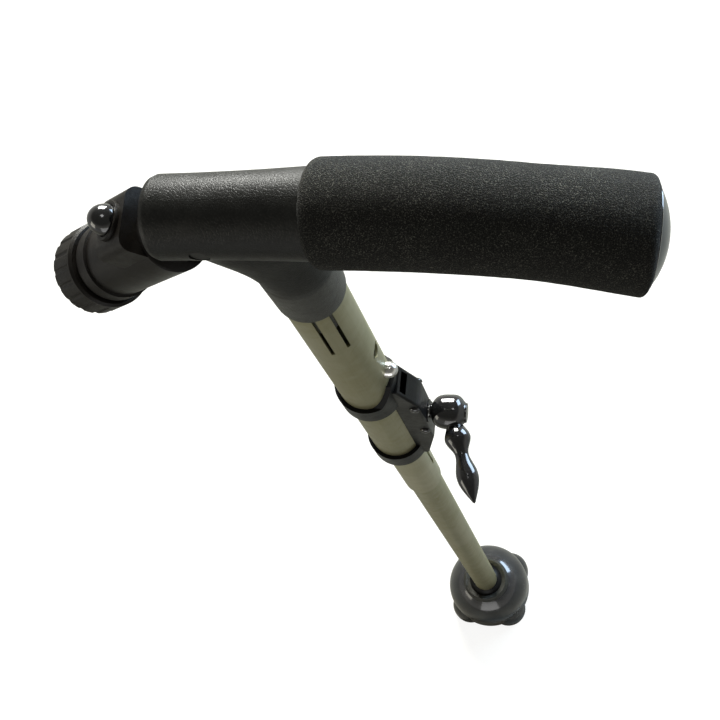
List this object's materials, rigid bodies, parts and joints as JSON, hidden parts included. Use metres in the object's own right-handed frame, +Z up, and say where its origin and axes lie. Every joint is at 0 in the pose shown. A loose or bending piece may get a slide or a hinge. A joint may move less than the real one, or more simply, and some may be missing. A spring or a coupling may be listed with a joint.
{
  "type": "walking cane",
  "caption": "Height-adjustable walking cane with an arched foam grip, tilting torch in the handle, lever clamp and a small lobed swivel foot.",
  "frame": {"origin": "on the floor, under the shaft's axis, in the middle of the foot", "axes": "+Z up the shaft, +X back along the grip, -X towards the torch, -Y towards the near side of the picture"},
  "size_m": [0.2186, 0.0765, 0.9122],
  "materials": {
    "board_green": "green lacquer",
    "brass_plate": "plated",
    "buffer_rubber": "grey-black",
    "cell_wrap": "plain green wrap",
    "chrome": "polished",
    "clamp_black": "semi-gloss black",
    "collar_grey": "dark grey",
    "foam_black": "black closed-cell foam",
    "foot_black": "black, slightly glossy",
    "gloss_black": "gloss black",
    "handle_plastic": "black, fine leather grain",
    "led_white": "milky",
    "lens_clear": "clear",
    "nylon": "natural",
    "sleeve_champagne": "satin pale champagne",
    "sole_rubber": "black, matt",
    "steel": "bright",
    "torch_black": "black, fine grain",
    "tube_bronze": "satin champagne anodised"
  },
  "bodies": {
    "foot": {"foot_dome": "foot_black", "sole": "sole_rubber", "ballast_plate": "steel", "socket_cup": "collar_grey", "socket_cap": "collar_grey", "cap_screws": "steel", "return_buffer": "buffer_rubber"},
    "ankle_liner": {"socket_liner": "collar_grey"},
    "lower_shaft": {"inner_tube": "tube_bronze", "top_glide": "nylon", "snap_spring": "steel", "ankle_ball": "clamp_black"},
    "snap_button": {"snap_button": "steel"},
    "upper_shaft": {"handle_shell_left": "handle_plastic", "handle_shell_right": "handle_plastic", "handle_screws": "steel", "stem_cross_screw": "steel", "stem_insert": "collar_grey", "foam_grip": "foam_black", "grip_end_plug": "gloss_black", "torch_pivot_pin": "clamp_black", "collar": "collar_grey", "outer_tube": "tube_bronze", "reducer_sleeve": "sleeve_champagne", "clamp_body": "clamp_black", "clamp_bar": "steel", "clamp_side_screws": "gloss_black"},
    "clamp_lever": {"clamp_lever": "gloss_black", "lever_screw": "steel"},
    "torch": {"torch_body": "torch_black", "torch_head_ring": "torch_black", "torch_lens": "lens_clear", "torch_reflector": "chrome", "torch_led_board": "board_green", "torch_led": "led_white", "torch_cells": "cell_wrap", "torch_contact_rear": "brass_plate", "torch_contact_front": "brass_plate", "torch_switch": "nylon", "torch_button_ring": "torch_black"},
    "torch_button": {"torch_button": "gloss_black"}
  },
  "joints": [
    {"name": "foot_tilt_fore", "type": "hinge", "parent": "foot", "child": "ankle_liner", "pos_m": [0, 0, 0.048], "axis": [0, 1, 0], "range_deg": [-12, 12], "stiffness_Nm_per_rad": 30},
    {"name": "foot_tilt_side", "type": "hinge", "parent": "ankle_liner", "child": "lower_shaft", "pos_m": [0, 0, 0.048], "axis": [1, 0, 0], "range_deg": [-12, 12], "stiffness_Nm_per_rad": 30},
    {"name": "height_slide", "type": "slide", "parent": "lower_shaft", "child": "upper_shaft", "axis": [0, 0, 1], "range_m": [-0.03, 0.09], "deforming": ["snap_button"]},
    {"name": "snap_press", "type": "slide", "parent": "lower_shaft", "child": "snap_button", "axis": [-1, 0, 0], "range_m": [0, 0.005], "stiffness_N_per_m": 1200, "deforming": ["snap_spring"]},
    {"name": "clamp_lever_turn", "type": "hinge", "parent": "upper_shaft", "child": "clamp_lever", "pos_m": [0.032, 0, 0.64], "axis": [1, 0, 0], "range_deg": [0, 120]},
    {"name": "torch_tilt", "type": "hinge", "parent": "upper_shaft", "child": "torch", "pos_m": [-0.02108, 0, 0.88583], "axis": [0, -1, 0], "range_deg": [-37, 8]},
    {"name": "torch_switch_press", "type": "slide", "parent": "torch", "child": "torch_button", "axis": [0.7116, 0, -0.7026], "range_m": [0, 0.0012], "stiffness_N_per_m": 1500}
  ]
}
